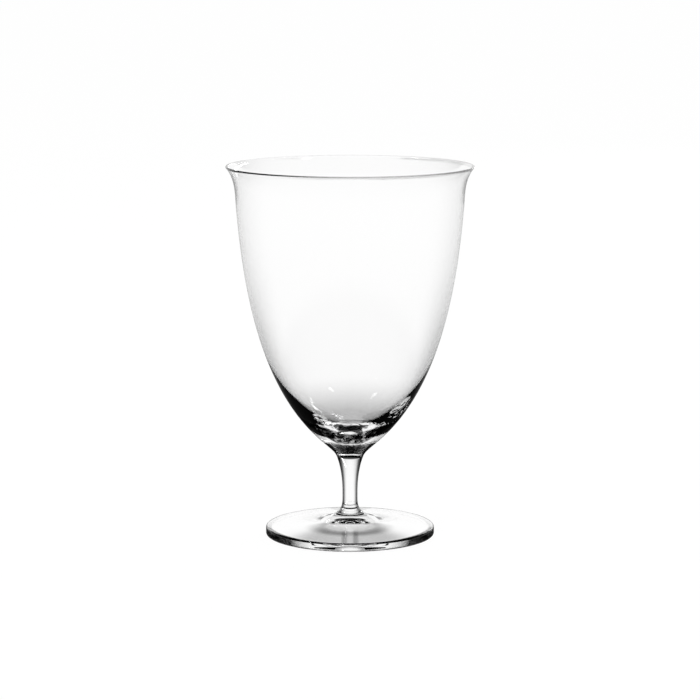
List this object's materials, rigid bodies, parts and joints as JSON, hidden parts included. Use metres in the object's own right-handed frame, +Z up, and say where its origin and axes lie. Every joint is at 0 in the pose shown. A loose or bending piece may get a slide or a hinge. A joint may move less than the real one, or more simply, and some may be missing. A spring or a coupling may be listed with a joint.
{
  "type": "cocktail glass",
  "caption": "Clear stemmed cocktail glass with a thin egg-shaped bowl, a flared lip, a heavy base, a short waisted stem and a flat round foot, for holding a drink.",
  "frame": {"origin": "middle of the foot's resting plane", "axes": "+Z up along the axis of the stem, towards the rim; the glass is turned about it"},
  "size_m": [0.0834, 0.0834, 0.126],
  "materials": {
    "foot_crystal": "clear, fire-polished",
    "stem_crystal": "clear, fire-polished",
    "bowl_crystal": "clear, fire-polished"
  },
  "bodies": {
    "root": {"foot": "foot_crystal", "stem": "stem_crystal", "bowl": "bowl_crystal"}
  },
  "joints": []
}
